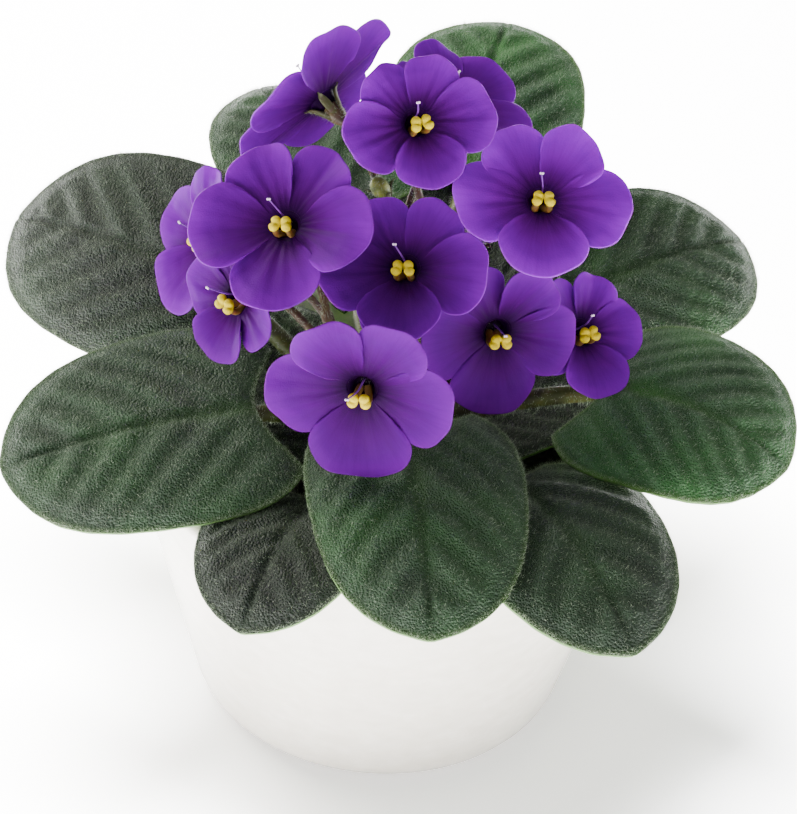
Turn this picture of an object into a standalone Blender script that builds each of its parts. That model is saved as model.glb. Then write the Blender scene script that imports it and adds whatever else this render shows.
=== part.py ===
"""Potted African violet.

Units are metres and +Z is up. The origin is the centre of the pot's flat base, which stands on
the ground. -Y is the plant's front. Every physical piece is one object: the pot, the soil, the
crown, each leaf with its stalk, each flower stalk, and each flower's corolla, stamens and pistil.
"""

import math

import bmesh
import bpy
from mathutils import Matrix, Vector

MM = 0.001
GAP = 0.3 * MM

# Pot: a turned ceramic cone with a rounded rim and a rounded bottom edge.
POT_HEIGHT = 78.7 * MM
POT_RIM_RADIUS = 65 * MM
POT_BASE_RADIUS = 46.3 * MM
POT_BASE_ROUNDING = 9.7 * MM
POT_WALL = 4.4 * MM
POT_FLOOR = 6 * MM
POT_INNER_ROUNDING = 8 * MM
POT_STEPS = 40

# Soil and crown. The steps are sides of the turned crown and detail of every tube.
SOIL_LEVEL = 64 * MM
SOIL_MOUND = 2.5 * MM
CROWN_RADIUS = 9 * MM
CROWN_TOP = 84 * MM
TURNED_STEPS = 24
TUBE_DETAIL = 1

# Leaves: blades on fleshy stalks. The shares are of the blade's length or width.
BLADE_THICKNESS = 1.7 * MM
BLADE_CELLS = (7, 6)
BLADE_TAPER = 0.10
BASAL_LOBE = 0.10
BASAL_NOTCH_WIDTH = 0.55
TIP_POINT = 0.03
TIP_POINT_WIDTH = 0.30
ROUNDNESS = 0.30
SIDE_DROOP = 0.06
PETIOLE_RADIUS = 2.3 * MM
PETIOLE_TAPER = 0.6
PETIOLE_UNDER_BLADE = 0.24
PETIOLE_ARCH = 0.10
ROOT_DEPTH = 2 * MM

# Flowers: five round lobes fused into a short tube.
LOBES = (
    # middle direction, half spread (degrees), reach as a share of the flower's radius
    (-8, 36.5, 1.00),
    (57, 32.5, 0.93),
    (123, 32.5, 0.93),
    (188, 36.5, 1.00),
    (270, 41.5, 1.04),
)
SPOKES_PER_LOBE = 5
NOTCH_REACH = 0.66
TUBE_RADIUS = 2.4 * MM
TUBE_LENGTH = 3 * MM
THROAT_RADIUS = 3.4 * MM
PETAL_THICKNESS = 0.8 * MM
CUP_SLOPE = 0.36
CUP_EASING = 0.17

ANTHER_RADIUS = 1.5 * MM
ANTHER_LENGTH = 1.75 * MM
ANTHER_SPREAD = 1.3 * MM
ANTHER_HEIGHT = 3.6 * MM
ANTHER_SPLAY = math.radians(20)
FOOT = 0.4 * MM
FILAMENT_RADIUS = 0.9 * MM
STAMEN_OFFSET = 1.1 * MM
STYLE_RADIUS = 0.35 * MM
STYLE_OFFSET = 1.1 * MM
STYLE_REACH = 9.5 * MM
STYLE_LEAN = 0.15
STIGMA_RADIUS = 0.6 * MM

PEDUNCLE_RADIUS = 1.5 * MM
PEDICEL_RADIUS = 1.05 * MM
STALK_BOW = 2 * MM
CALYX_RADIUS = 2.7 * MM
CALYX_LENGTH = 3.2 * MM
BUD_CALYX_RADIUS = 1.6 * MM
BUD_RINGS = 4
BUD_STEPS = 10
BUD_SWEEP = 0.85
BUD_COLOURS = {"green": (0.16, 0.19, 0.05), "violet": (0.13, 0.02, 0.20)}

# Each leaf: the middle of the blade's base, the blade's tip (mm), blade width and rise of the
# midrib's arch (mm), bank of the blade (degrees), and where its stalk leaves the crown
# (direction in degrees, height in mm).
LEAVES = {
    "leaf_01": ((-44, 28, 97), (-100, 56, 95.5), 60, 6, -29, 152, 74),
    "leaf_02": ((-33, -18.5, 95), (-91, -34, 84), 57, 4, -17, 205, 78),
    "leaf_03": ((-16, -28, 75.5), (-31, -75, 75), 42, 8, 1, 240, 70),
    "leaf_04": ((4, -21, 94), (12, -80, 81), 52, 5, 0, 276, 79),
    "leaf_05": ((28, -19, 78), (58, -75, 77), 50, 9, 4, 318, 70),
    "leaf_06": ((52, 3, 93), (95, -17, 88), 56, 6, 11, 5, 79),
    "leaf_07": ((45, 40, 94), (88, 71, 94), 53, 5, 20, 32, 72),
    "leaf_08": ((14, 62, 113), (23, 114, 130), 54, 6, 0, 75, 80),
    "leaf_09": ((-17, 58, 102), (-42, 109, 108), 49, 5, -6, 112, 76),
    "leaf_10": ((-2, 54, 83), (-6, 98, 83), 42, 5, 0, 93, 71),
    "leaf_11": ((15, -9, 84), (25, -15, 85), 12, 1, 0, 326, 81),
}

# Each flower: the back of its tube (mm), the way it faces (direction and elevation in degrees),
# its turn about its own axis (degrees), its radius (mm), its height as a share of its width and
# the stalk that carries it.
FLOWERS = {
    "01": ((-20.5, 31, 149.5), 140, 22, -40, 24, 1.00, 1),
    "02": ((0, 13, 157), -70, 44, 6, 19, 0.84, 2),
    "03": ((31.2, 6.5, 141.3), -81, 55, -5, 21.5, 0.92, 2),
    "04": ((-27, -5.5, 137.5), -120, 49, 19, 23, 0.92, 3),
    "05": ((1, -6, 128), -105, 50, 11, 20.5, 0.88, 4),
    "06": ((-46, 24.5, 112.5), -151, 24, 0, 19.5, 1.00, 3),
    "07": ((-37, -5.5, 117), -136, 19, 0, 15.5, 1.00, 5),
    "08": ((-7, -36, 117), -100, 2, 4, 22.4, 1.00, 5),
    "09": ((22.3, -3, 111.8), -70, 12, -6, 20, 1.00, 6),
    "10": ((43.2, 9.2, 102.8), -55, 42, -5, 16.2, 1.00, 6),
    "11": ((9, 44, 143), -24, 68, 0, 19, 1.00, 1),
}

# Each closed bud: its foot (mm), the way it points (degrees), its length and radius (mm), its
# colour and the stalk that carries it.
BUDS = {
    "bud_01": ((-5.5, 21, 131.5), 200, 60, 6.5, 2.6, "green", 1),
    "bud_02": ((16, 9, 128), -60, 55, 9, 3.0, "violet", 2),
}

# Each flower stalk: where it leaves the crown (direction in degrees, height in mm) and the
# fork (mm) where its flowers' own stalks part.
STALKS = {
    1: (110, 82, (-2, 24, 118)),
    2: (60, 83, (8, 10, 120)),
    3: (170, 82, (-18, 6, 106)),
    4: (0, 84, (2, 2, 108)),
    5: (240, 82, (-12, -8, 98)),
    6: (40, 82, (14, 8, 98)),
}


def clear_scene():
    """Start from an empty file."""
    for obj in list(bpy.data.objects):
        bpy.data.objects.remove(obj, do_unlink=True)


def collection(name):
    group = bpy.data.collections.new(name)
    bpy.context.scene.collection.children.link(group)
    return group


def principled(name, colour, roughness, metallic=0.0):
    found = bpy.data.materials.get(name)
    if found:
        return found
    made = bpy.data.materials.new(name)
    made.use_nodes = True
    shader = made.node_tree.nodes["Principled BSDF"]
    shader.inputs["Base Color"].default_value = (*colour, 1.0)
    shader.inputs["Roughness"].default_value = roughness
    shader.inputs["Metallic"].default_value = metallic
    return made


def add_object(name, data, group, material=None):
    obj = bpy.data.objects.new(name, data)
    group.objects.link(obj)
    if material:
        obj.data.materials.append(material)
    return obj


def arc(centre, radius, start, end, count):
    """Points of a circle in the XZ plane, from one angle to another (degrees)."""
    points = []
    for step in range(count + 1):
        angle = math.radians(start + (end - start) * step / count)
        points.append((centre[0] + radius * math.cos(angle), centre[1] + radius * math.sin(angle)))
    return points


def turned(name, profile, steps, group, material=None):
    """A body turned about Z from a profile of (radius, height) points."""
    mesh = bpy.data.meshes.new(name)
    shape = bmesh.new()
    verts = [shape.verts.new((x, 0.0, z)) for x, z in profile]
    for first, second in zip(verts, verts[1:]):
        shape.edges.new((first, second))
    shape.to_mesh(mesh)
    shape.free()
    obj = add_object(name, mesh, group, material)
    screw = obj.modifiers.new("turn", "SCREW")
    screw.steps = steps
    screw.render_steps = steps
    screw.use_merge_vertices = True
    screw.merge_threshold = 0.00001
    screw.use_smooth_shade = True
    return obj


def smooth_path(points, per_span):
    """Points of a Catmull-Rom curve through the given ones."""
    ends = [points[0] * 2 - points[1], *points, points[-1] * 2 - points[-2]]
    path = []
    for a, b, c, d in zip(ends, ends[1:], ends[2:], ends[3:]):
        for step in range(per_span):
            t = step / per_span
            path.append(0.5 * (2 * b + (c - a) * t + (2 * a - 5 * b + 4 * c - d) * t * t
                               + (3 * b - a - 3 * c + d) * t * t * t))
    path.append(points[-1])
    return path


def tube(name, points, radii, group):
    """A closed mesh tube along the points, with its own radius at each of them."""
    curve = bpy.data.curves.new(name, "CURVE")
    curve.dimensions = "3D"
    curve.bevel_depth = 1.0
    curve.bevel_resolution = TUBE_DETAIL
    curve.use_fill_caps = True
    spline = curve.splines.new("POLY")
    spline.points.add(len(points) - 1)
    for place, point, radius in zip(spline.points, points, radii):
        place.co = (*point, 1.0)
        place.radius = radius
    guide = add_object(name + "_guide", curve, group)
    bpy.context.view_layer.update()
    evaluated = guide.evaluated_get(bpy.context.evaluated_depsgraph_get())
    mesh = bpy.data.meshes.new_from_object(evaluated)
    bpy.data.objects.remove(guide, do_unlink=True)
    weld(mesh)
    return mesh


def weld(mesh):
    shape = bmesh.new()
    shape.from_mesh(mesh)
    bmesh.ops.remove_doubles(shape, verts=shape.verts, dist=0.00001)
    bmesh.ops.recalc_face_normals(shape, faces=shape.faces)
    shape.to_mesh(mesh)
    shape.free()


def cutter(name, mesh, group):
    obj = add_object(name, mesh, group)
    obj.hide_render = True
    obj.display_type = "WIRE"
    return obj


def combine(obj, other, operation):
    step = obj.modifiers.new(operation.lower(), "BOOLEAN")
    step.operation = operation
    step.solver = "EXACT"
    step.object = other


def frame_along(direction, up=Vector((0, 0, 1))):
    """Axes with Z along the direction and Y as near to up as it can be."""
    z = direction.normalized()
    x = up.cross(z).normalized()
    return Matrix((x, z.cross(x), z)).transposed()


def heading(azimuth, elevation=0.0):
    a, e = math.radians(azimuth), math.radians(elevation)
    return Vector((math.cos(a) * math.cos(e), math.sin(a) * math.cos(e), math.sin(e)))


# --- pot, soil and crown ---------------------------------------------------------------------

def wall_radius(z, inset=0.0):
    """Radius of the pot's conical outer face at a height, less an inset."""
    slope = (POT_RIM_RADIUS - POT_BASE_RADIUS) / POT_HEIGHT
    return POT_BASE_RADIUS + slope * z - inset


def pot_profile():
    rim = POT_WALL / 2
    lean = math.degrees(math.atan2(POT_RIM_RADIUS - POT_BASE_RADIUS, POT_HEIGHT))
    inner_corner = (wall_radius(POT_FLOOR, POT_WALL) - POT_INNER_ROUNDING,
                    POT_FLOOR + POT_INNER_ROUNDING)
    tangent = POT_BASE_ROUNDING / math.cos(math.radians(lean))
    outer_corner = (wall_radius(POT_BASE_ROUNDING) - tangent, POT_BASE_ROUNDING)
    rim_centre = (wall_radius(POT_HEIGHT) - rim, POT_HEIGHT - rim)
    return [
        (0.0, POT_FLOOR),
        *arc(inner_corner, POT_INNER_ROUNDING, -90, -lean, 3),
        *arc(rim_centre, rim, 180 - lean, -lean, 6),
        *arc(outer_corner, POT_BASE_ROUNDING, -lean, -90, 5),
        (0.0, 0.0),
    ]


def build_pot(group):
    glaze = principled("glazed_ceramic", (0.78, 0.75, 0.70), 0.28)
    turned("pot", pot_profile(), POT_STEPS, group, glaze)


def build_soil(group):
    earth = principled("potting_soil", (0.035, 0.022, 0.014), 0.95)
    inset = POT_WALL + GAP
    corner_radius = wall_radius(POT_FLOOR, inset) - POT_INNER_ROUNDING
    corner = (corner_radius, POT_FLOOR + GAP + POT_INNER_ROUNDING)
    lean = math.degrees(math.atan2(POT_RIM_RADIUS - POT_BASE_RADIUS, POT_HEIGHT))
    edge = wall_radius(SOIL_LEVEL, inset + GAP)
    profile = [
        (0.0, SOIL_LEVEL + SOIL_MOUND),
        (CROWN_RADIUS * 1.4, SOIL_LEVEL + SOIL_MOUND),
        (edge * 0.6, SOIL_LEVEL + SOIL_MOUND * 0.6),
        (edge, SOIL_LEVEL),
        *arc(corner, POT_INNER_ROUNDING, -lean, -90, 3),
        (0.0, POT_FLOOR + GAP),
    ]
    turned("soil", profile, POT_STEPS, group, earth)


def crown_profile(grow=0.0):
    foot = SOIL_LEVEL + SOIL_MOUND + GAP - grow
    shoulder = CROWN_RADIUS * 0.55
    return [
        (0.0, CROWN_TOP + grow),
        *arc((CROWN_RADIUS - shoulder, CROWN_TOP - shoulder), shoulder + grow, 90, 0, 3),
        (CROWN_RADIUS * 0.92 + grow, foot),
        (0.0, foot),
    ]


def build_crown(group):
    green = principled("crown_green", (0.10, 0.14, 0.04), 0.7)
    turned("crown", crown_profile(), TURNED_STEPS, group, green)


def crown_clearance(cutters):
    """The crown grown by the gap: what every stalk's foot is cut back to."""
    room = turned("crown_clearance", crown_profile(GAP), TURNED_STEPS, cutters)
    room.hide_render = True
    room.display_type = "WIRE"
    return room


# --- leaves ----------------------------------------------------------------------------------

def blade_point(s, t, length, width):
    """Where a point of the unit disc lies on a flat blade: along the midrib, and across it."""
    fuller = 1 + ROUNDNESS * s * s * t * t
    across = width / 2 * t * fuller * (1 - BLADE_TAPER * s)
    along = length * (0.5 + 0.5 * s * fuller)
    along -= length * BASAL_LOBE * (1 - s) * min(1.0, (t / BASAL_NOTCH_WIDTH) ** 2)
    along += length * TIP_POINT * max(0.0, s) ** 3 * math.exp(-((t / TIP_POINT_WIDTH) ** 2))
    return along, across


def blade_mesh(name, base, tip, width, rise, bank):
    """An arched open sheet with an ovate outline, from the blade's base to its tip."""
    chord = tip - base
    length = chord.length
    axes = frame_along(chord).to_4x4()
    place = Matrix.Translation(base) @ axes @ Matrix.Rotation(math.radians(bank), 4, "Z")
    shape = bmesh.new()
    bmesh.ops.create_grid(shape, x_segments=BLADE_CELLS[0],
                          y_segments=BLADE_CELLS[1], size=1.0)
    for vert in shape.verts:
        x, y = vert.co.x, vert.co.y
        s = x * math.sqrt(1 - y * y / 2)
        t = y * math.sqrt(1 - x * x / 2)
        along, across = blade_point(s, t, length, width)
        share = along / length
        lift = rise * 4 * share * (1 - share) - width * SIDE_DROOP * t * t
        vert.co = place @ Vector((-across, lift, along))
    bmesh.ops.recalc_face_normals(shape, faces=shape.faces)
    if sum(face.normal.z for face in shape.faces) < 0:
        bmesh.ops.reverse_faces(shape, faces=shape.faces)
    mesh = bpy.data.meshes.new(name)
    shape.to_mesh(mesh)
    shape.free()
    mesh.shade_smooth()
    return mesh, place


def build_leaf(name, row, group, cutters, clearance):
    """A thick arched blade joined to its stalk, which is cut back to clear the crown."""
    base, tip, width, rise, bank, direction, height = row
    base, tip = Vector(base) * MM, Vector(tip) * MM
    width, rise = width * MM, rise * MM
    green = principled("leaf_green", (0.03, 0.075, 0.02), 0.55)
    mesh, place = blade_mesh(name, base, tip, width, rise, bank)
    leaf = add_object(name, mesh, group, green)
    shell = leaf.modifiers.new("thickness", "SOLIDIFY")
    shell.thickness = BLADE_THICKNESS
    shell.offset = -1.0
    root = heading(direction) * (CROWN_RADIUS - ROOT_DEPTH) + Vector((0, 0, height * MM))
    outward = Vector((base.x, base.y, 0)).normalized()
    knee = (root + base) / 2 + outward * MM
    knee.z += PETIOLE_ARCH * (base - root).length
    seat = place @ Vector((0, -BLADE_THICKNESS, 0))
    reach = PETIOLE_UNDER_BLADE * (tip - base).length
    under = place @ Vector((0, rise * 0.7 - BLADE_THICKNESS, reach))
    path = smooth_path([root, knee, seat, under], 2)
    last = len(path) - 1
    taper = [PETIOLE_RADIUS * (1.1 - PETIOLE_TAPER * step / last) for step in range(last + 1)]
    stalk = cutter(name + "_stalk", tube(name + "_stalk", path, taper, cutters), cutters)
    combine(leaf, stalk, "UNION")
    combine(leaf, clearance, "DIFFERENCE")


# --- flowers ---------------------------------------------------------------------------------

def lobe_reach(radius, share, reach):
    """Outline radius at a share of the way across one lobe, from notch to notch."""
    notch = radius * NOTCH_REACH
    return notch + (radius * reach - notch) * math.sqrt(1 - abs(2 * share - 1) ** 2.4)


def petal_height(distance, radius):
    """Height of the spread lobes above the throat, at a distance from the flower's axis."""
    share = (distance - THROAT_RADIUS) / radius
    return radius * (CUP_SLOPE * share - CUP_EASING * share * share)


def corolla_mesh(name, radius, tallness):
    """Rings of points from the back of the tube, over the throat, to the lobes' edge."""
    shape = bmesh.new()
    rings = []
    for direction, spread, reach in LOBES:
        for step in range(SPOKES_PER_LOBE):
            share = step / SPOKES_PER_LOBE
            angle = math.radians(direction + spread * (2 * share - 1))
            edge = lobe_reach(radius, share, reach)
            middle = THROAT_RADIUS + (edge - THROAT_RADIUS) * 0.5
            section = [
                (TUBE_RADIUS, 0.0),
                (THROAT_RADIUS, TUBE_LENGTH),
                (middle, TUBE_LENGTH + petal_height(middle, radius)),
                (edge, TUBE_LENGTH + petal_height(edge, radius)),
            ]
            squash = [1.0, 1.0, (1 + tallness) / 2, tallness]
            rings.append([shape.verts.new((r * math.cos(angle), r * math.sin(angle) * tall, z))
                          for (r, z), tall in zip(section, squash)])
    for spoke, following in zip(rings, rings[1:] + rings[:1]):
        for step in range(len(spoke) - 1):
            shape.faces.new((spoke[step], spoke[step + 1], following[step + 1], following[step]))
    mesh = bpy.data.meshes.new(name)
    shape.to_mesh(mesh)
    shape.free()
    mesh.shade_smooth()
    return mesh


def flower_matrix(place, azimuth, elevation, spin):
    """The flower's own frame: Z is its axis and Y points between its two upper lobes."""
    turn = Matrix.Rotation(math.radians(spin), 4, "Z")
    return Matrix.Translation(Vector(place) * MM) @ frame_along(
        heading(azimuth, elevation)).to_4x4() @ turn


def build_corolla(name, matrix, radius, tallness, group):
    violet = principled("petal_violet", (0.19, 0.015, 0.44), 0.5)
    corolla = add_object(name, corolla_mesh(name, radius, tallness), group, violet)
    corolla.matrix_world = matrix
    shell = corolla.modifiers.new("thickness", "SOLIDIFY")
    shell.thickness = PETAL_THICKNESS
    shell.offset = -1.0


def build_stamens(name, matrix, group, cutters):
    """Two yellow anthers side by side on one short filament column."""
    yellow = principled("anther_yellow", (0.75, 0.52, 0.02), 0.6)
    top = TUBE_LENGTH + ANTHER_HEIGHT
    column = [Vector((0, -STAMEN_OFFSET, FOOT)), Vector((0, -STAMEN_OFFSET, top - FOOT))]
    mesh = tube(name, column, [FILAMENT_RADIUS] * 2, cutters)
    stamens = add_object(name, mesh, group, yellow)
    stamens.matrix_world = matrix
    for side in (-1, 1):
        shape = bmesh.new()
        bmesh.ops.create_uvsphere(shape, u_segments=8, v_segments=5, radius=1.0)
        bmesh.ops.scale(shape, verts=shape.verts,
                        vec=(ANTHER_RADIUS, ANTHER_LENGTH, ANTHER_RADIUS))
        bmesh.ops.rotate(shape, verts=shape.verts,
                         matrix=Matrix.Rotation(side * ANTHER_SPLAY, 3, "Z"))
        bmesh.ops.translate(shape, verts=shape.verts,
                            vec=(side * ANTHER_SPREAD, -STAMEN_OFFSET, top))
        anther = bpy.data.meshes.new(name + "_anther")
        shape.to_mesh(anther)
        shape.free()
        half = cutter(name + ("_left" if side < 0 else "_right"), anther, cutters)
        half.matrix_world = matrix
        combine(stamens, half, "UNION")


def build_pistil(name, matrix, group, cutters):
    """A thin style that leans past the anthers to a small stigma."""
    purple = principled("style_purple", (0.22, 0.03, 0.26), 0.5)
    height = TUBE_LENGTH + STYLE_REACH
    path = [
        Vector((0, STYLE_OFFSET, FOOT)),
        Vector((0, STYLE_OFFSET * 1.3, height * 0.5)),
        Vector((-STYLE_LEAN * height, STYLE_OFFSET + STYLE_LEAN * height, height)),
    ]
    mesh = tube(name, smooth_path(path, 2), [STYLE_RADIUS] * 4 + [STIGMA_RADIUS], cutters)
    add_object(name, mesh, group, purple).matrix_world = matrix


def build_bud(name, row, group):
    """A closed bud: an egg turned about its own axis."""
    place, azimuth, elevation, length, radius, colour, _ = row
    shade = BUD_COLOURS[colour]
    foot = math.cos(math.pi * BUD_SWEEP)
    profile = [(0.0, length * MM)]
    for step in range(1, BUD_RINGS + 1):
        angle = math.pi * BUD_SWEEP * step / BUD_RINGS
        height = length * (math.cos(angle) - foot) / (1 - foot)
        profile.append((radius * math.sin(angle) * MM, height * MM))
    profile.append((0.0, 0.0))
    bud = turned(name, profile, BUD_STEPS, group, principled("bud_" + colour, shade, 0.6))
    bud.matrix_world = flower_matrix(place, azimuth, elevation, 0)


def build_stalk(number, row, heads, group, cutters, clearance):
    """One peduncle, with a pedicel and a calyx for each flower or bud that it carries."""
    brown = principled("stalk_brown_green", (0.11, 0.08, 0.03), 0.6)
    direction, height, fork = row
    name = "flower_stalk_{:02d}".format(number)
    root = heading(direction) * CROWN_RADIUS * 0.4 + Vector((0, 0, (height - 3) * MM))
    fork = Vector(fork) * MM
    knee = (root + fork) / 2 + heading(direction) * STALK_BOW
    path = smooth_path([root, knee, fork], 3)
    radii = [PEDUNCLE_RADIUS] * len(path)
    stalk = add_object(name, tube(name, path, radii, cutters), group, brown)
    for index, (matrix, calyx) in enumerate(heads):
        back = matrix @ Vector((0, 0, -GAP))
        neck = matrix @ Vector((0, 0, -GAP - CALYX_LENGTH))
        bend = matrix @ Vector((0, 0, -GAP - 3 * CALYX_LENGTH))
        start = fork - (fork - knee).normalized() * PEDUNCLE_RADIUS
        bow = start * 0.6 + bend * 0.4 + Vector((0, 0, STALK_BOW))
        route = smooth_path([start, bow, bend, neck], 2) + [back]
        thickness = [PEDICEL_RADIUS] * (len(route) - 2) + [calyx * 0.8, calyx]
        branch = cutter("{}_branch_{}".format(name, index),
                        tube(name + "_branch", route, thickness, cutters), cutters)
        combine(stalk, branch, "UNION")
    combine(stalk, clearance, "DIFFERENCE")


def main():
    clear_scene()
    plant = collection("potted_african_violet")
    cutters = collection("cutters")
    build_pot(plant)
    build_soil(plant)
    build_crown(plant)
    clearance = crown_clearance(cutters)
    for name, row in LEAVES.items():
        build_leaf(name, row, plant, cutters, clearance)
    carried = {number: [] for number in STALKS}
    for number, (place, azimuth, elevation, spin, radius, tallness, stalk) in FLOWERS.items():
        matrix = flower_matrix(place, azimuth, elevation, spin)
        carried[stalk].append((matrix, CALYX_RADIUS))
        build_corolla("corolla_" + number, matrix, radius * MM, tallness, plant)
        build_stamens("stamens_" + number, matrix, plant, cutters)
        build_pistil("pistil_" + number, matrix, plant, cutters)
    for name, row in BUDS.items():
        place, azimuth, elevation, *_, stalk = row
        carried[stalk].append((flower_matrix(place, azimuth, elevation, 0), BUD_CALYX_RADIUS))
        build_bud(name, row, plant)
    for number, row in STALKS.items():
        build_stalk(number, row, carried[number], plant, cutters, clearance)


main()
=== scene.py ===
# %% [markdown]
# # A potted african violet
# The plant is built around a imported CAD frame. The frame says where every leaf, flower, stalk and
# bud is, and how large the pot is. Each cell below puts the real surface on one kind of part.

# %% Load the frame
import math
import random

import bmesh
import bpy
import numpy as np
from mathutils import Matrix, Vector, noise


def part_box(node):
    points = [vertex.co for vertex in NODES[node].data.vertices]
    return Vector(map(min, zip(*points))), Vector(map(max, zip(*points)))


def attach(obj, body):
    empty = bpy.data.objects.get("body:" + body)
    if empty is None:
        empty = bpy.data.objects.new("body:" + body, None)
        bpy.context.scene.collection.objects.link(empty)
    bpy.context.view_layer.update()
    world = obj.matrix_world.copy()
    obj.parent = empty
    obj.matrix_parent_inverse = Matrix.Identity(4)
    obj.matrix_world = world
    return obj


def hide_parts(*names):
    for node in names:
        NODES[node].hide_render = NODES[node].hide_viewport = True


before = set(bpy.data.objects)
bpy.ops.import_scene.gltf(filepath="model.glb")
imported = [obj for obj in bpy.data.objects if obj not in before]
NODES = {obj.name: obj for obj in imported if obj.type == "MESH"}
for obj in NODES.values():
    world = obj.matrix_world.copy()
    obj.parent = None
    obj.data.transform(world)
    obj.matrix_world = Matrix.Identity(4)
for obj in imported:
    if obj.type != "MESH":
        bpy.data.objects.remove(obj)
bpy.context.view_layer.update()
MM = 0.001

# %% [markdown]
# ## Small tools used by every cell
# Colours are written as the familiar six-digit codes and turned into the linear light values that
# the shader wants. One function adds any shader node, so that a material reads as a short list.


# %% Colour and material helpers
def linear(code):
    """Linear RGBA of an sRGB colour code."""
    channels = [int(code[i:i + 2], 16) / 255 for i in (1, 3, 5)]
    return (*[c / 12.92 if c <= 0.04045 else ((c + 0.055) / 1.055) ** 2.4
              for c in channels], 1.0)


def start_material(name, roughness, ior=1.45):
    """A new material and its one shader node."""
    material = bpy.data.materials.new(name)
    material.use_nodes = True
    shader = material.node_tree.nodes["Principled BSDF"]
    shader.inputs["Roughness"].default_value = roughness
    shader.inputs["IOR"].default_value = ior
    return material, shader


def add(material, kind, sockets=None, stops=None, **settings):
    """Adds one node. Each socket gets a value or the output that feeds it."""
    made = material.node_tree.nodes.new("ShaderNode" + kind)
    for key, value in settings.items():
        setattr(made, key, value)
    for key, value in (sockets or {}).items():
        if isinstance(value, bpy.types.NodeSocket):
            material.node_tree.links.new(value, made.inputs[key])
        else:
            made.inputs[key].default_value = value
    if stops:
        band = made.color_ramp.elements
        while len(band) < len(stops):
            band.new(1.0)
        for element, (place, code) in zip(band, stops):
            element.position = place
            element.color = linear(code)
    return made


def feed(material, output, shader, socket):
    material.node_tree.links.new(output, shader.inputs[socket])


def mottle(material, shader, scale, detail, stops, roughness=0.5, in_metres=True):
    """Colours the material by noise, and returns the noise.

    In metres the noise lies in the piece's own axes. Otherwise it is fitted to the piece's box,
    which is only right for a piece without modifiers.
    """
    sockets = {"Scale": scale, "Detail": detail, "Roughness": roughness}
    if in_metres:
        sockets["Vector"] = add(material, "TexCoord").outputs["Object"]
    patch = add(material, "TexNoise", sockets)
    tone = add(material, "ValToRGB", {"Fac": patch.outputs["Fac"]}, stops=stops)
    feed(material, tone.outputs["Color"], shader, "Base Color")
    return patch


# %% [markdown]
# A finished mesh becomes an object at the origin, rides on the frame's one body, and takes one of
# the materials made in this script. A copy of a frame mesh is made of loose triangles, so it is
# welded before anything is measured on it.


# %% Mesh helpers
def finish_piece(name, shape, material, stands_for=(), smooth=True):
    """Turns the bmesh into a piece of the plant."""
    mesh = bpy.data.meshes.new(name)
    shape.to_mesh(mesh)
    shape.free()
    if smooth:
        mesh.shade_smooth()
    mesh.materials.append(material)
    piece = bpy.data.objects.new(name, mesh)
    bpy.context.scene.collection.objects.link(piece)
    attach(piece, "root")
    if stands_for:
        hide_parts(*stands_for)
    return piece


def thicken(piece, thickness, underside=None):
    """Gives a sheet its thickness, behind its front."""
    step = piece.modifiers.new("thickness", "SOLIDIFY")
    step.thickness = thickness
    step.offset = -1.0
    if underside:
        piece.data.materials.append(underside)
        step.material_offset = 1
        step.material_offset_rim = 1


def soften(piece, levels=1):
    """Rounds the piece by dividing its faces."""
    step = piece.modifiers.new("soften", "SUBSURF")
    step.levels = levels
    step.render_levels = levels


def welded(node):
    """A bmesh copy of a frame node with its loose triangles joined."""
    shape = bmesh.new()
    shape.from_mesh(NODES[node].data)
    bmesh.ops.remove_doubles(shape, verts=shape.verts, dist=0.00001)
    bmesh.ops.recalc_face_normals(shape, faces=shape.faces)
    return shape


def corners(node):
    return np.array([vert.co for vert in NODES[node].data.vertices])


def smoothstep(value, start=0.0, end=1.0):
    share = min(1.0, max(0.0, (value - start) / (end - start)))
    return share * share * (3 - 2 * share)


def heading(azimuth, elevation=0.0):
    """The direction with this compass angle and height, both in degrees."""
    a, e = math.radians(azimuth), math.radians(elevation)
    return Vector((math.cos(a) * math.cos(e), math.sin(a) * math.cos(e), math.sin(e)))


def frame_along(direction):
    """Axes with Z along the direction and Y as near to up as it can be."""
    z = direction.normalized()
    x = Vector((0, 0, 1)).cross(z).normalized()
    return Matrix((x, z.cross(x), z)).transposed()


# %% [markdown]
# ## The camera
# A long lens looks down at the plant from in front, a little rolled. The long lens keeps the pot's
# sides nearly straight.

# %% Camera
CAMERA_HEIGHT_ANGLE = math.radians(36.4)
CAMERA_ROLL = math.radians(3.91)
CAMERA_DISTANCE = 750 * MM
CAMERA_TARGET = Vector((1.1 * MM, 0, 83.8 * MM))
LENS = 134.3

back = Vector((0, -math.cos(CAMERA_HEIGHT_ANGLE), math.sin(CAMERA_HEIGHT_ANGLE)))
right = Vector((1, 0, 0))
above = back.cross(right)
axes = Matrix((
    right * math.cos(CAMERA_ROLL) + above * math.sin(CAMERA_ROLL),
    above * math.cos(CAMERA_ROLL) - right * math.sin(CAMERA_ROLL),
    back,
)).transposed()
camera = bpy.data.objects.new("camera", bpy.data.cameras.new("camera"))
camera.data.lens = LENS
camera.data.sensor_width = 36
camera.matrix_world = Matrix.Translation(CAMERA_TARGET + back * CAMERA_DISTANCE) @ axes.to_4x4()
bpy.context.scene.collection.objects.link(camera)
bpy.context.scene.camera = camera
print("camera at", [round(c, 3) for c in camera.matrix_world.translation])

# %% [markdown]
# ## Floor and light
# The studio is a pale sweep with one broad soft light from the upper left and behind, which comes
# through the petals and leaves a faint shadow on the lower right. A weak one fills the front, and
# a third lights the floor alone, so that it stays nearly white.

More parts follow.
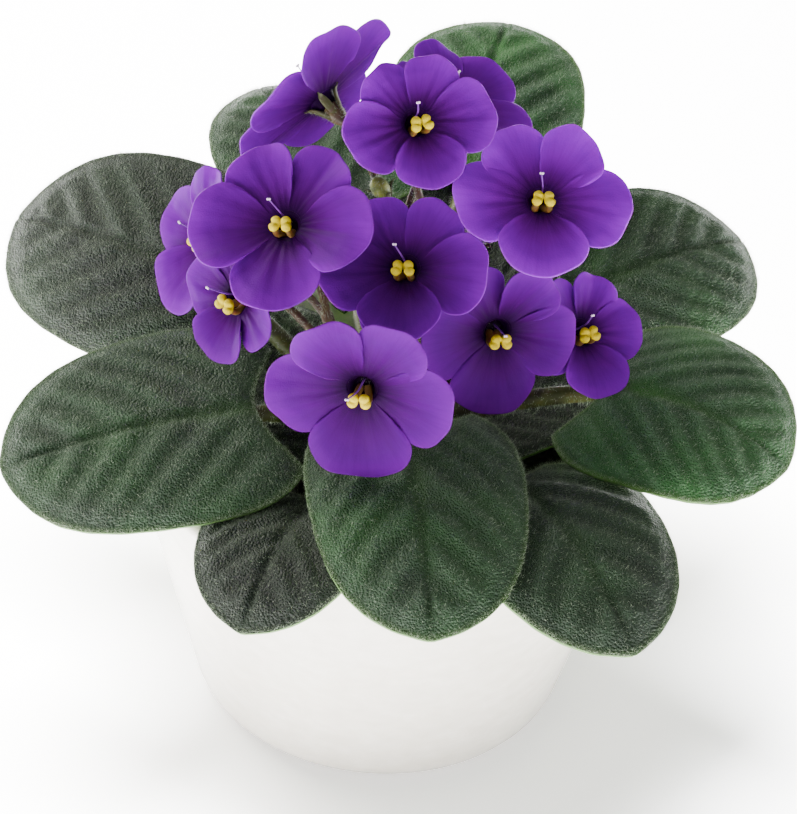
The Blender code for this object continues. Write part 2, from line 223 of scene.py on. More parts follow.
# %% Floor and light
FLOOR_SIZE = 6.0
FLOOR_GLOW = 0.85
SKY_STRENGTH = 0.55
floor_white, shader = start_material("pale_paper_sweep", 0.9)
grain = add(floor_white, "TexNoise", {"Scale": 3.0, "Detail": 2.0})
tint = add(floor_white, "ValToRGB", {"Fac": grain.outputs["Fac"]},
           stops=[(0.3, "#f8f8f8"), (0.7, "#fdfdfd")])
feed(floor_white, tint.outputs["Color"], shader, "Base Color")
feed(floor_white, tint.outputs["Color"], shader, "Emission Color")
shader.inputs["Emission Strength"].default_value = FLOOR_GLOW

shape = bmesh.new()
bmesh.ops.create_grid(shape, x_segments=2, y_segments=2, size=FLOOR_SIZE)
mesh = bpy.data.meshes.new("floor")
shape.to_mesh(mesh)
shape.free()
mesh.materials.append(floor_white)
floor = bpy.data.objects.new("floor", mesh)
bpy.context.scene.collection.objects.link(floor)

world = bpy.data.worlds.new("studio")
world.use_nodes = True
sky = world.node_tree.nodes["Background"]
sky.inputs["Color"].default_value = linear("#ffffff")
sky.inputs["Strength"].default_value = SKY_STRENGTH
bpy.context.scene.world = world


def soft_light(name, place, target, size, power, code, only=None):
    """A square light panel that faces the target. It can be kept to one object."""
    light = bpy.data.lights.new(name, "AREA")
    light.size = size
    light.energy = power
    light.color = linear(code)[:3]
    lamp = bpy.data.objects.new(name, light)
    facing = (Vector(place) - Vector(target)).normalized()
    lamp.matrix_world = Matrix.Translation(Vector(place)) @ frame_along(facing).to_4x4()
    bpy.context.scene.collection.objects.link(lamp)
    if only:
        group = bpy.data.collections.new(name + "_lights_only")
        group.objects.link(only)
        lamp.light_linking.receiver_collection = group


PLANT_MIDDLE = (0, 0, 0.09)
soft_light("key", (-0.9, 0.55, 0.85), PLANT_MIDDLE, 0.7, 27.0, "#fffaf2")
soft_light("fill", (-0.6, -1.1, 0.9), PLANT_MIDDLE, 0.8, 3.0, "#f4f6ff")
soft_light("floor_wash", (-0.45, 0.35, 2.4), (0, 0, 0), 1.3, 900.0, "#ffffff", floor)

# %% [markdown]
# ## The pot
# A plain glazed pot is thrown on a wheel, so its whole shape is one outline turned about its axis.
# The outline is read from the frame's pot: the chain of edges that lies in one half plane.


# %% Turned shapes
POT_TURN_STEPS = 128


def half_plane_outline(node):
    """The ordered (radius, height) points of a turned frame node, from the outside of its base."""
    shape = welded(node)
    on_plane = [v for v in shape.verts if abs(v.co.y) < 0.02 * MM and v.co.x > -0.01 * MM]
    start = min(on_plane, key=lambda v: (round(v.co.z, 5), v.co.x))
    chain, allowed = [start], set(on_plane)
    while True:
        nearby = [edge.other_vert(chain[-1]) for edge in chain[-1].link_edges]
        ahead = [v for v in nearby if v in allowed and v not in chain]
        if not ahead:
            break
        chain.append(max(ahead, key=lambda v: v.co.x) if len(chain) == 1 else ahead[0])
    outline = [(max(0.0, v.co.x), v.co.z) for v in chain]
    shape.free()
    return outline


def spun(outline, steps):
    """The solid of revolution of an outline that starts and ends on the axis."""
    shape = bmesh.new()
    verts = [shape.verts.new((r, 0, z)) for r, z in outline]
    edges = [shape.edges.new(pair) for pair in zip(verts, verts[1:])]
    bmesh.ops.spin(shape, geom=verts + edges, cent=(0, 0, 0), axis=(0, 0, 1), dvec=(0, 0, 0),
                   angle=2 * math.pi, steps=steps, use_merge=True)
    bmesh.ops.remove_doubles(shape, verts=shape.verts, dist=0.000001)
    bmesh.ops.recalc_face_normals(shape, faces=shape.faces)
    return shape


pot_outline = half_plane_outline("pot")
print("pot outline:", len(pot_outline), "points, rim radius",
      round(max(r for r, z in pot_outline) / MM, 1), "mm")

# %% Glaze
# An off-white glaze: glossy, with a faint warm cloudiness and the slow waves of a poured glaze.
glaze, shader = start_material("ivory_glazed_ceramic", 0.24, 1.5)
mottle(glaze, shader, 22.0, 3.0,
       [(0.3, "#d3ccc0"), (0.55, "#dad3c8"), (0.75, "#e0dad0")], 0.55, in_metres=False)
waves = add(glaze, "TexNoise", {"Scale": 45.0, "Detail": 1.0})
bump = add(glaze, "Bump", {"Height": waves.outputs["Fac"], "Strength": 0.12, "Distance": 0.4 * MM})
feed(glaze, bump.outputs["Normal"], shader, "Normal")
shader.inputs["Coat Weight"].default_value = 0.35
shader.inputs["Coat Roughness"].default_value = 0.08

pot = finish_piece("pot_glazed", spun(pot_outline, POT_TURN_STEPS), glaze,
                   ["pot"])
print("pot faces:", len(pot.data.polygons))

# %% [markdown]
# ## Where each flower sits
# Every flower in the frame is three nodes: corolla, stamens and pistil. Their feet stand either
# side of the flower's axis, and the stamens rise along it, so the flower's own axes can be read
# back from them. Z is the axis, and Y points between the two upper lobes.


# %% Flower frames
FEET_HEIGHT = 0.4 * MM
FOOT_SLICE = 0.15 * MM
FLOWER_NUMBERS = range(1, 12)


def flower_frame(number):
    """The flower's matrix, and the tip of its pistil."""
    stamens = corners(f"stamens_{number:02d}")
    pistil = corners(f"pistil_{number:02d}")
    middle = np.unique(stamens.round(6), axis=0).mean(0)
    away = np.linalg.norm(stamens - middle, axis=1)
    foot = np.unique(stamens[away > away.max() - FOOT_SLICE].round(6), axis=0).mean(0)
    z = Vector(middle - foot).normalized()
    rise = (pistil - foot) @ np.array(z)
    pistil_foot = np.unique(pistil[rise < rise.min() + FOOT_SLICE].round(6), axis=0).mean(0)
    tip = pistil[rise > rise.max() - FOOT_SLICE].mean(0)
    y = Vector(pistil_foot - foot)
    y = (y - z * y.dot(z)).normalized()
    origin = Vector((foot + pistil_foot) / 2) - z * FEET_HEIGHT
    matrix = Matrix.Translation(origin) @ Matrix((y.cross(z), y, z)).transposed().to_4x4()
    return matrix, Vector(tip)


FLOWERS = {number: flower_frame(number) for number in FLOWER_NUMBERS}
for number, (matrix, tip) in FLOWERS.items():
    print("flower", number, "at", [round(c / MM) for c in matrix.translation],
          "faces", [round(c, 2) for c in matrix.col[2][:3]])

# %% [markdown]
# ## Petals
# The petals grow from one short tube and spread into five rounded lobes. Each lobe is a fan-shaped
# grid, laid from the throat to a rounded edge. Its length and height come from the frame's
# corolla. Neighbours overlap a little, one over the other, and the edges are gently waved.

# %% Petal sizes
LOBES = ((-8, 36.5), (57, 32.5), (123, 32.5), (188, 36.5), (270, 41.5))
TUBE_RADIUS = 2.4 * MM
TUBE_LENGTH = 3 * MM
THROAT_RADIUS = 3.4 * MM
PETAL_THICKNESS = 0.4 * MM
CELLS_ACROSS = 26
CELLS_ALONG = 22
OVERLAP = 0.17
EDGE_ROUNDNESS = 2.3
NOTCH_REACH = 0.57
SIDE_LIFT = 0.6 * MM
RUFFLE = 0.06
TILT = 0.07
EDGE_CURL = 0.035
FOLD_DEPTH = 0.35 * MM
RIB_DEPTH = 0.07 * MM
CRINKLE = 0.22 * MM
CRINKLE_SIZE = 2.4 * MM
TUBE_SHARE = 0.05
# At each meeting of two lobes, 1 means that the earlier lobe lies in front of the later one.
USUAL_FRONT = (1, 1, 0, 0, 1)
IN_FRONT = {4: (1, 0, 0, 1, 1), 8: (1, 0, 1, 0, 1)}
# Painted light and shade: each flower's colour is made brighter or darker for the light that falls
# on it, 1 where none is given.
SHADES = {2: 1.05, 3: 1.5, 4: 0.8, 5: 0.95, 6: 0.8, 7: 0.65, 8: 0.5, 9: 0.6, 10: 1.2}
# Flower 5 has one more small lobe: direction, half spread, share of the reach, and drop.
EXTRA_LOBES = {5: ((247, 15, 0.98, -1.6 * MM),)}


def measured_lobe(points, direction):
    """How far a lobe reaches, and how high its tip is, in the flower's own axes."""
    radius = np.hypot(points[:, 0], points[:, 1])
    angle = np.degrees(np.arctan2(points[:, 1], points[:, 0]))
    off = np.abs((angle - direction + 180) % 360 - 180)
    near = off < 14
    reach = radius[near].max()
    tip = points[near & (radius > reach - 0.4 * MM), 2].max()
    return reach, tip


# %% One lobe
def lobe_sheet(shape, uv_layer, direction, spread, reach, tip, sides, seed):
    """Lays one lobe into the flower's bmesh. Its front looks along Z."""
    chance = random.Random(seed)
    phase = [chance.uniform(0, 2 * math.pi) for _ in range(5)]
    curl = chance.uniform(0.2, 1.3) * EDGE_CURL * reach
    wave = chance.uniform(0.7, 1.3) * RUFFLE * reach
    tilt = chance.uniform(-TILT, TILT)
    made = bmesh.ops.create_grid(shape, x_segments=CELLS_ACROSS, y_segments=CELLS_ALONG, size=1.0)
    for face in {face for vert in made["verts"] for face in vert.link_faces}:
        for loop in face.loops:
            loop[uv_layer].uv = ((loop.vert.co.x + 1) / 2,
                                 TUBE_SHARE + (1 - TUBE_SHARE) * (loop.vert.co.y + 1) / 2)
    for vert in made["verts"]:
        u, v = vert.co.x, (vert.co.y + 1) / 2
        open_up = 1 + OVERLAP * (0.3 + 0.7 * smoothstep(v, 0.0, 0.6))
        angle = math.radians(direction - u * spread * open_up)
        edge = NOTCH_REACH + (1 - NOTCH_REACH) * math.sqrt(1 - min(1, abs(u)) ** EDGE_ROUNDNESS)
        edge *= 1 + 0.014 * math.sin(5 * u + phase[0]) + 0.008 * math.sin(11 * u + phase[1])
        radius = THROAT_RADIUS + (reach * edge - THROAT_RADIUS) * v
        out = (radius - THROAT_RADIUS) / (reach - THROAT_RADIUS)
        z = TUBE_LENGTH + (tip - TUBE_LENGTH) * (1.25 * out - 0.25 * out * out)
        z += tilt * (radius - THROAT_RADIUS) * smoothstep(v, 0.05, 0.7)
        side = sides[0] if u > 0 else sides[1]
        z += side * SIDE_LIFT * abs(u) ** 1.5 * smoothstep(v, 0.05, 0.7)
        z += wave * v * v * (0.6 * math.sin(3.1 * u + phase[2]) + 0.4 * math.sin(6.3 * u + phase[3]))
        z -= curl * smoothstep(v, 0.72, 1.12)
        z -= FOLD_DEPTH * math.exp(-(u / 0.13) ** 2) * math.sin(math.pi * v)
        z += RIB_DEPTH * math.sin(17 * u + phase[4]) * math.sin(math.pi * v) ** 0.5
        place = Vector((radius * math.cos(angle), radius * math.sin(angle), 0))
        z += CRINKLE * v * noise.noise(place / CRINKLE_SIZE + Vector((seed, 0, 0)))
        vert.co = Vector((place.x, place.y, z))


def throat_tube(shape, uv_layer):
    """The short funnel behind the lobes, closed at its back."""
    outline = [(0, 0.2 * MM), (TUBE_RADIUS * 0.8, 0.25 * MM), (TUBE_RADIUS, 1.0 * MM),
               (TUBE_RADIUS * 1.08, 2.0 * MM), (THROAT_RADIUS * 1.02, TUBE_LENGTH)]
    verts = [shape.verts.new((r, 0, z)) for r, z in outline]
    edges = [shape.edges.new(pair) for pair in zip(verts, verts[1:])]
    before = set(shape.faces)
    bmesh.ops.spin(shape, geom=verts + edges, cent=(0, 0, 0), axis=(0, 0, 1), dvec=(0, 0, 0),
                   angle=2 * math.pi, steps=24, use_merge=True)
    faces = [face for face in shape.faces if face not in before]
    ring = list({vert for face in faces for vert in face.verts})
    bmesh.ops.remove_doubles(shape, verts=ring, dist=0.000001)
    faces = [face for face in shape.faces if face not in before]
    if sum(face.normal.z for face in faces) < 0:
        bmesh.ops.reverse_faces(shape, faces=faces)
    for face in faces:
        for loop in face.loops:
            loop[uv_layer].uv = (0.5, TUBE_SHARE * loop.vert.co.z / TUBE_LENGTH)


# %% Petal colour
# Velvet violet: near black at the throat, which is painted shade down the tube, deep violet beyond
# it and lighter towards the edge, with a very faint pale line on the edge itself. Fine streaks run
# outwards over a grain of tiny cells.
STREAKS_ACROSS = 34
CELL = 0.35 * MM
petal_violet, shader = start_material("violet_petal", 0.42, 1.4)
uv = add(petal_violet, "UVMap")
parts = add(petal_violet, "SeparateXYZ", {"Vector": uv.outputs["UV"]})
stretch = add(petal_violet, "Mapping", {"Vector": uv.outputs["UV"],
                                        "Scale": (STREAKS_ACROSS, 2.2, 1.0)})
streak = add(petal_violet, "TexNoise", {"Vector": stretch.outputs["Vector"], "Scale": 1.0,
                                        "Detail": 3.0, "Roughness": 0.6})
spread_out = add(petal_violet, "MapRange", {"Value": streak.outputs["Fac"], "From Min": 0.25,
                                            "From Max": 0.75, "To Min": -0.06, "To Max": 0.06})
along = add(petal_violet, "Math", {0: parts.outputs["Y"], 1: spread_out.outputs["Result"]},
            operation="ADD")
# The near-black start of this band, at the throat, is painted shade.
violet = add(petal_violet, "ValToRGB", {"Fac": along.outputs["Value"]},
             stops=[(0.0, "#100014"), (0.07, "#200030"), (0.2, "#340048"), (0.45, "#4a0068"),
                    (0.75, "#580080"), (1.0, "#6e009c")])
rim = add(petal_violet, "MapRange", {"Value": parts.outputs["Y"], "From Min": 0.98,
                                     "From Max": 1.0, "To Min": 0.0, "To Max": 0.05})
edged = add(petal_violet, "MixRGB", {"Fac": rim.outputs["Result"],
                                     "Color1": violet.outputs["Color"],
                                     "Color2": linear("#c79af0")})
# Painted light and shade: the flower's SHADES value brightens or darkens its whole colour.
shade = add(petal_violet, "Attribute", attribute_name="shade")
painted_shading = add(petal_violet, "HueSaturation", {"Value": shade.outputs["Fac"],
                                           "Color": edged.outputs["Color"]})
feed(petal_violet, painted_shading.outputs["Color"], shader, "Base Color")
spot = add(petal_violet, "TexCoord")
cells = add(petal_violet, "TexVoronoi", {"Vector": spot.outputs["Object"], "Scale": 1 / CELL})
beads = add(petal_violet, "Bump", {"Height": cells.outputs["Distance"], "Strength": 0.35,
                                   "Distance": 0.12 * MM}, invert=True)
feed(petal_violet, beads.outputs["Normal"], shader, "Normal")
shader.inputs["Subsurface Weight"].default_value = 0.25
shader.inputs["Subsurface Radius"].default_value = (0.9, 0.1, 1.0)
shader.inputs["Subsurface Scale"].default_value = 1.2 * MM
shader.inputs["Specular IOR Level"].default_value = 0.03


# %% Make every corolla
def build_petals(number):
    node = f"corolla_{number:02d}"
    matrix, _ = FLOWERS[number]
    inverse = np.array(matrix.inverted())
    points = corners(node) @ inverse[:3, :3].T + inverse[:3, 3]
    shape = bmesh.new()
    uv_layer = shape.loops.layers.uv.new("petal")
    front = IN_FRONT.get(number, USUAL_FRONT)
    for index, (direction, spread) in enumerate(LOBES):
        reach, tip = measured_lobe(points, direction)
        next_side = 1 if front[index] else -1
        last_side = -1 if front[index - 1] else 1
        lobe_sheet(shape, uv_layer, direction, spread, reach, tip,
                   (last_side, next_side), 100 * number + index)
    for direction, spread, share, drop in EXTRA_LOBES.get(number, ()):
        reach, tip = measured_lobe(points, 270)
        lobe_sheet(shape, uv_layer, direction, spread, reach * share, tip + drop,
                   (-1, -1), 100 * number + 7)
    throat_tube(shape, uv_layer)
    # The flower's painted light and shade, read by the material.
    shade_layer = shape.verts.layers.float.new("shade")
    for vert in shape.verts:
        vert[shade_layer] = SHADES.get(number, 1.0)
    shape.transform(matrix)
    petals = finish_piece(f"petals_{number:02d}", shape, petal_violet,
                          [node])
    thicken(petals, PETAL_THICKNESS)
    soften(petals)


for number in FLOWER_NUMBERS:
    build_petals(number)
print("corollas made:", len(FLOWERS))

# %% [markdown]
# ## Stamens and pistil
# The yellow centre is two stamens whose anthers are pressed together. Each anther is a bean with a
# groove along it, so the pair shows four round lobes. The style is a thin purple thread beside
# them, and it ends in a pale bead.

# %% Stamens
ANTHER_SIZE = Vector((1.45, 1.95, 1.35)) * MM
ANTHER_SPREAD = 1.42 * MM
ANTHER_SPLAY = math.radians(14)
ANTHER_HEIGHT = 6.7 * MM
ANTHER_OFFSET = Vector((0, -1.1, 0)) * MM
GROOVE_DEPTH = 0.48
GROOVE_WIDTH = 0.27
FILAMENT_RADIUS = 0.78 * MM

pollen, shader = start_material("yellow_pollen_sac", 0.55)
mottle(pollen, shader, 700.0, 3.0,
       [(0.3, "#6e5c00"), (0.5, "#bca400"), (0.72, "#f0da00")], in_metres=False)
dust = add(pollen, "TexNoise", {"Scale": 4200.0, "Detail": 2.0})
bump = add(pollen, "Bump", {"Height": dust.outputs["Fac"], "Strength": 0.5,
                            "Distance": 0.12 * MM})
feed(pollen, bump.outputs["Normal"], shader, "Normal")
shader.inputs["Specular IOR Level"].default_value = 0.2

filament_tan, shader = start_material("translucent_filament", 0.45, 1.4)
mottle(filament_tan, shader, 500.0, 2.0,
       [(0.3, "#3c200c"), (0.7, "#70501c")], in_metres=False)
shader.inputs["Subsurface Weight"].default_value = 0.3
shader.inputs["Subsurface Scale"].default_value = 0.8 * MM


def swept(shape, points, radii, sides=10):
    """A closed round stalk: a disc is pushed along the points, and turned and scaled at each."""
    direction = (points[1] - points[0]).normalized()
    start = Matrix.Translation(points[0]) @ direction.to_track_quat("Z", "Y").to_matrix().to_4x4()
    disc = bmesh.ops.create_circle(shape, cap_ends=True, segments=sides, radius=radii[0],
                                   matrix=start)
    ring = disc["verts"]
    for index in range(1, len(points)):
        cap = [f for f in ring[0].link_faces if set(f.verts) == set(ring)]
        if index == 1:
            # This one leaves the first disc behind as the closed end.
            pushed = bmesh.ops.extrude_face_region(shape, geom=cap)["geom"]
            ring = [item for item in pushed if isinstance(item, bmesh.types.BMVert)]
        else:
            pushed = bmesh.ops.extrude_discrete_faces(shape, faces=cap)["faces"]
            ring = list(pushed[0].verts)
        step = points[index] - points[index - 1]
        turn = direction.rotation_difference(step.normalized()).to_matrix().to_4x4()
        size = radii[index] / radii[index - 1]
        move = (Matrix.Translation(points[index]) @ turn @ Matrix.Scale(size, 4)
                @ Matrix.Translation(-points[index - 1]))
        bmesh.ops.transform(shape, matrix=move, verts=ring)
        direction = step.normalized()


def smooth_path(points, per_span):
    """Points of a smooth curve through the given ones."""
    ends = [points[0] * 2 - points[1], *points, points[-1] * 2 - points[-2]]
    path = []
    for a, b, c, d in zip(ends, ends[1:], ends[2:], ends[3:]):
        for step in range(per_span):
            t = step / per_span
            path.append(0.5 * (2 * b + (c - a) * t + (2 * a - 5 * b + 4 * c - d) * t * t
                               + (3 * b - a - 3 * c + d) * t * t * t))
    path.append(points[-1])
    return path


def anther(shape, side):
    """A bean with a groove along its front, leaning to one side."""
    made = bmesh.ops.create_uvsphere(shape, u_segments=28, v_segments=18, radius=1.0)
    for vert in made["verts"]:
        y, z = vert.co.y, vert.co.z
        groove = GROOVE_DEPTH * math.exp(-(y / GROOVE_WIDTH) ** 2) * smoothstep(z, -0.9, 0.6)
        vert.co *= 1 - groove
    turn = Matrix.Rotation(side * ANTHER_SPLAY, 4, "Z") @ Matrix.Rotation(side * 0.35, 4, "Y")
    place = (Matrix.Translation(ANTHER_OFFSET + Vector((side * ANTHER_SPREAD, 0, ANTHER_HEIGHT)))
             @ turn @ Matrix.Diagonal((*ANTHER_SIZE, 1)))
    bmesh.ops.transform(shape, matrix=place, verts=made["verts"])


def build_stamens(number):
    node = f"stamens_{number:02d}"
    matrix, _ = FLOWERS[number]
    shape = bmesh.new()
    for side in (-1, 1):
        anther(shape, side)
    shape.transform(matrix)
    finish_piece(f"anthers_{number:02d}", shape, pollen, [node])
    shape = bmesh.new()
    for side in (-1, 1):
        path = [Vector((side * 0.8, -1.0, 0.4)), Vector((side * 1.5, -2.2, 2.6)),
                Vector((side * 1.7, -2.4, 4.6)), Vector((side * 1.1, -1.4, 6.4))]
        path = smooth_path([point * MM for point in path], 4)
        radii = [FILAMENT_RADIUS * (1.25 - 0.35 * i / len(path)) for i in range(len(path))]
        swept(shape, path, radii)
    shape.transform(matrix)
    bmesh.ops.recalc_face_normals(shape, faces=shape.faces)
    finish_piece(f"filaments_{number:02d}", shape, filament_tan)


for number in FLOWER_NUMBERS:
    build_stamens(number)

# %% Pistils
STYLE_RADIUS = 0.19 * MM
STIGMA_RADIUS = 0.36 * MM
style_purple, shader = start_material("purple_style", 0.4, 1.4)
mottle(style_purple, shader, 300.0, 2.0,
       [(0.3, "#4a1470"), (0.7, "#7c3aa6")], in_metres=False)
stigma_pale, shader = start_material("pale_stigma", 0.5, 1.4)
mottle(stigma_pale, shader, 900.0, 1.0,
       [(0.35, "#caa0cc"), (0.65, "#f1e2ee")], in_metres=False)


def build_pistil(number):
    matrix, tip = FLOWERS[number]
    end = matrix.inverted() @ tip
    path = [Vector((0, 1.1 * MM, FEET_HEIGHT)), Vector((end.x * 0.15, 1.5 * MM, end.z * 0.5)),
            end * 0.97]
    path = smooth_path(path, 5)
    shape = bmesh.new()
    radii = [STYLE_RADIUS * (1.3 - 0.5 * i / len(path)) for i in range(len(path))]
    swept(shape, path, radii, 8)
    shape.transform(matrix)
    bmesh.ops.recalc_face_normals(shape, faces=shape.faces)
    finish_piece(f"style_{number:02d}", shape, style_purple,
                 [f"pistil_{number:02d}"])
    shape = bmesh.new()
    for side in (-1, 1):
        bead = bmesh.ops.create_icosphere(shape, subdivisions=2, radius=STIGMA_RADIUS * 0.8)
        bmesh.ops.translate(shape, verts=bead["verts"], vec=(side * 0.25 * MM, 0, 0))
    bmesh.ops.translate(shape, verts=shape.verts, vec=end * 0.985)
    shape.transform(matrix)
    finish_piece(f"stigma_{number:02d}", shape, stigma_pale)


for number in FLOWER_NUMBERS:
    build_pistil(number)
print("pistils made:", len(FLOWERS))

# %% [markdown]
# ## Leaves
# A leaf is a thick, arched, nearly round blade on a long fleshy stalk. Side veins run out from the
# midrib and curve towards the tip, and the skin swells between them like a quilt. Rows 1 to 11
# are the plan that the frame was built from, so that each new blade lies on its frame leaf. Rows
# 12 to 16 are young leaves near the crown, which the frame does not have. Their dark colour is
# painted shade.

# %% Leaf plan
# Blade's base and tip, width, arch, bank angle; stalk's direction and height on the crown. In mm.
LEAVES = {
    1: ((-44, 28, 97), (-100, 56, 95.5), 60, 6, -29, 152, 74),
    2: ((-33, -18.5, 95), (-91, -34, 84), 57, 4, -17, 205, 78),
    3: ((-16, -28, 75.5), (-31, -75, 75), 42, 8, 1, 240, 70),
    4: ((4, -21, 94), (12, -80, 81), 52, 5, 0, 276, 79),
    5: ((28, -19, 78), (58, -75, 77), 50, 9, 4, 318, 70),
    6: ((52, 3, 93), (95, -17, 88), 56, 6, 11, 5, 79),
    7: ((45, 40, 94), (88, 71, 94), 53, 5, 20, 32, 72),
    8: ((14, 62, 113), (23, 114, 130), 54, 6, 0, 75, 80),
    9: ((-17, 58, 102), (-42, 109, 108), 49, 5, -6, 112, 76),
    10: ((-2, 54, 83), (-6, 98, 83), 42, 5, 0, 93, 71),
    11: ((15, -9, 84), (25, -15, 85), 12, 1, 0, 326, 81),
    12: ((-12, 16, 76), (-36, 38, 84), 30, 2, 0, 130, 72),
    13: ((12, 22, 84), (34, 50, 104), 32, 3, 0, 50, 78),
    14: ((5, 34, 92), (15, 78, 113), 28, 3, 0, 84, 80),
    15: ((16, 6, 73), (54, 20, 80), 32, 3, 0, 20, 72),
    16: ((-16, -4, 74), (-44, 4, 84), 30, 3, 0, 176, 72),
}
# Painted light and shade: each blade's colour is made brighter or darker for the light that falls on
# it, 1 where none is given. The young leaves deep in the crown get the darkest painted shade.
LEAF_SHADES = {1: 0.35, 2: 0.85, 3: 0.25, 4: 1.0, 5: 0.75, 6: 1.9, 8: 2.6, 12: 0.3, 13: 0.3,
               14: 0.3, 15: 0.3, 16: 0.3}
BLADE_TAPER = 0.10
BASAL_LOBE = 0.10
BASAL_NOTCH_WIDTH = 0.55
TIP_POINT = 0.03
TIP_POINT_WIDTH = 0.30
ROUNDNESS = 0.30
SIDE_DROOP = 0.06
BLADE_THICKNESS = 1.3 * MM
BLADE_CELLS = 112
CROWN_RADIUS = 9 * MM

# %% [markdown]
# The quilt is worked out from where a point lies between two side veins. `bulge` is 0 in a vein's
# groove and 1 on top of a swelling. It also goes to the material, which paints a paler sheen on
# the swellings.

# %% Quilting
SIDE_VEINS = 5.2
VEIN_SLOPE = 0.95
VEIN_CURVE = 0.30
BULGE_HEIGHT = 1.15 * MM
MIDRIB_WIDTH = 1.2 * MM
MIDRIB_DEPTH = 0.7 * MM
NET_SIZE = 5.5 * MM
PEBBLE_SIZE = 2.1 * MM
PEBBLE_HEIGHT = 0.22 * MM
SCALLOP = 0.004
MARGIN_CURL = 1.1 * MM


def blade_point(s, t, length, width):
    """Where a point of the unit disc lies on a flat blade: along the midrib, and across it."""
    fuller = 1 + ROUNDNESS * s * s * t * t
    across = width / 2 * t * fuller * (1 - BLADE_TAPER * s)
    along = length * (0.5 + 0.5 * s * fuller)
    along -= length * BASAL_LOBE * (1 - s) * min(1.0, (t / BASAL_NOTCH_WIDTH) ** 2)
    along += length * TIP_POINT * max(0.0, s) ** 3 * math.exp(-((t / TIP_POINT_WIDTH) ** 2))
    return along, across


def quilt(along, across, length, width, seed):
    """How far the skin swells at a point: 0 in a vein's groove, 1 on top of a swelling."""
    side = abs(across)
    wander = 0.22 * noise.noise(Vector((along / (15 * MM), across / (15 * MM), seed)))
    start = along - VEIN_SLOPE * side - VEIN_CURVE * side * side / (width / 2)
    phase = SIDE_VEINS * start / length + 0.5 * wander + (0.12 if across > 0 else 0)
    between = 0.5 - 0.5 * math.cos(2 * math.pi * phase)
    rung = side / NET_SIZE + 0.9 * noise.noise(Vector((along, across, seed * MM)) / (6 * MM))
    ladder = abs(math.sin(math.pi * rung)) ** 0.6
    rib = 1 - math.exp(-(side / (MIDRIB_WIDTH * (2.2 - 1.6 * along / length))) ** 2)
    return rib * between * (0.85 + 0.15 * ladder), rib


# %% One blade
def blade_frame(number):
    base, tip, width, rise, bank = LEAVES[number][:5]
    base, tip = Vector(base) * MM, Vector(tip) * MM
    place = (Matrix.Translation(base) @ frame_along(tip - base).to_4x4()
             @ Matrix.Rotation(math.radians(bank), 4, "Z"))
    return place, (tip - base).length, width * MM, rise * MM


def blade_shape(number):
    """The blade's upper skin, with the numbers that its material reads."""
    place, length, width, rise = blade_frame(number)
    scale = min(1.0, length / (55 * MM))
    shape = bmesh.new()
    bulge_layer = shape.verts.layers.float.new("bulge")
    shade_layer = shape.verts.layers.float.new("shade")
    edge_layer = shape.verts.layers.float.new("edge")
    rib_layer = shape.verts.layers.float.new("rib")
    cells = BLADE_CELLS if length > 20 * MM else BLADE_CELLS // 4
    bmesh.ops.create_grid(shape, x_segments=cells, y_segments=cells, size=1.0)
    for vert in shape.verts:
        x, y = vert.co.x, vert.co.y
        s = x * math.sqrt(1 - y * y / 2)
        t = y * math.sqrt(1 - x * x / 2)
        out = min(1.0, math.hypot(s, t))
        along, across = blade_point(s, t, length, width)
        bulge, rib = quilt(along, across, length, width, number)
        edge = smoothstep(out, 0.80, 1.0)
        grow = 1 + SCALLOP * (bulge - 0.5) * edge
        centre = length / 2
        along, across = centre + (along - centre) * grow, across * grow
        share = along / length
        lift = rise * 4 * share * (1 - share) - width * SIDE_DROOP * t * t
        lift += scale * BULGE_HEIGHT * (bulge - 0.55) * (1 - smoothstep(out, 0.62, 0.97))
        lift -= scale * MIDRIB_DEPTH * (1 - rib) * (1 - 0.6 * edge)
        lift -= scale * MARGIN_CURL * edge * edge
        pebble = noise.noise(Vector((along, across, number * 10 * MM)) / PEBBLE_SIZE)
        lift += scale * PEBBLE_HEIGHT * pebble * (1 - edge)
        vert[bulge_layer] = bulge
        # The blade's painted light and shade, read by the material.
        vert[shade_layer] = LEAF_SHADES.get(number, 1.0)
        vert[edge_layer] = smoothstep(out, 0.95, 1.0)
        vert[rib_layer] = (1 - rib) * max(0.0, 0.95 - 1.1 * share)
        vert.co = place @ Vector((-across, lift, along))
    bmesh.ops.recalc_face_normals(shape, faces=shape.faces)
    if sum(face.normal.z for face in shape.faces) < 0:
        bmesh.ops.reverse_faces(shape, faces=shape.faces)
    return shape


# %% Leaf colour
# Deep green skin with a soft dull gloss. The swellings get a painted sheen: a paler, silvery grey
# that stands in for the light their hairs catch.
# The midrib's groove and the margin are fresher green, and a fine net of cells roughens it all.
SKIN_CELL = 0.55 * MM
leaf_skin, shader = start_material("velvety_leaf_skin", 0.52)
spot = add(leaf_skin, "TexCoord")
bulge = add(leaf_skin, "Attribute", attribute_name="bulge")
edge = add(leaf_skin, "Attribute", attribute_name="edge")
rib = add(leaf_skin, "Attribute", attribute_name="rib")
patch = add(leaf_skin, "TexNoise", {"Vector": spot.outputs["Object"], "Scale": 45.0,
                                    "Detail": 3.0})
green = add(leaf_skin, "ValToRGB", {"Fac": patch.outputs["Fac"]},
            stops=[(0.3, "#0b260c"), (0.55, "#133711"), (0.75, "#1c4817")])
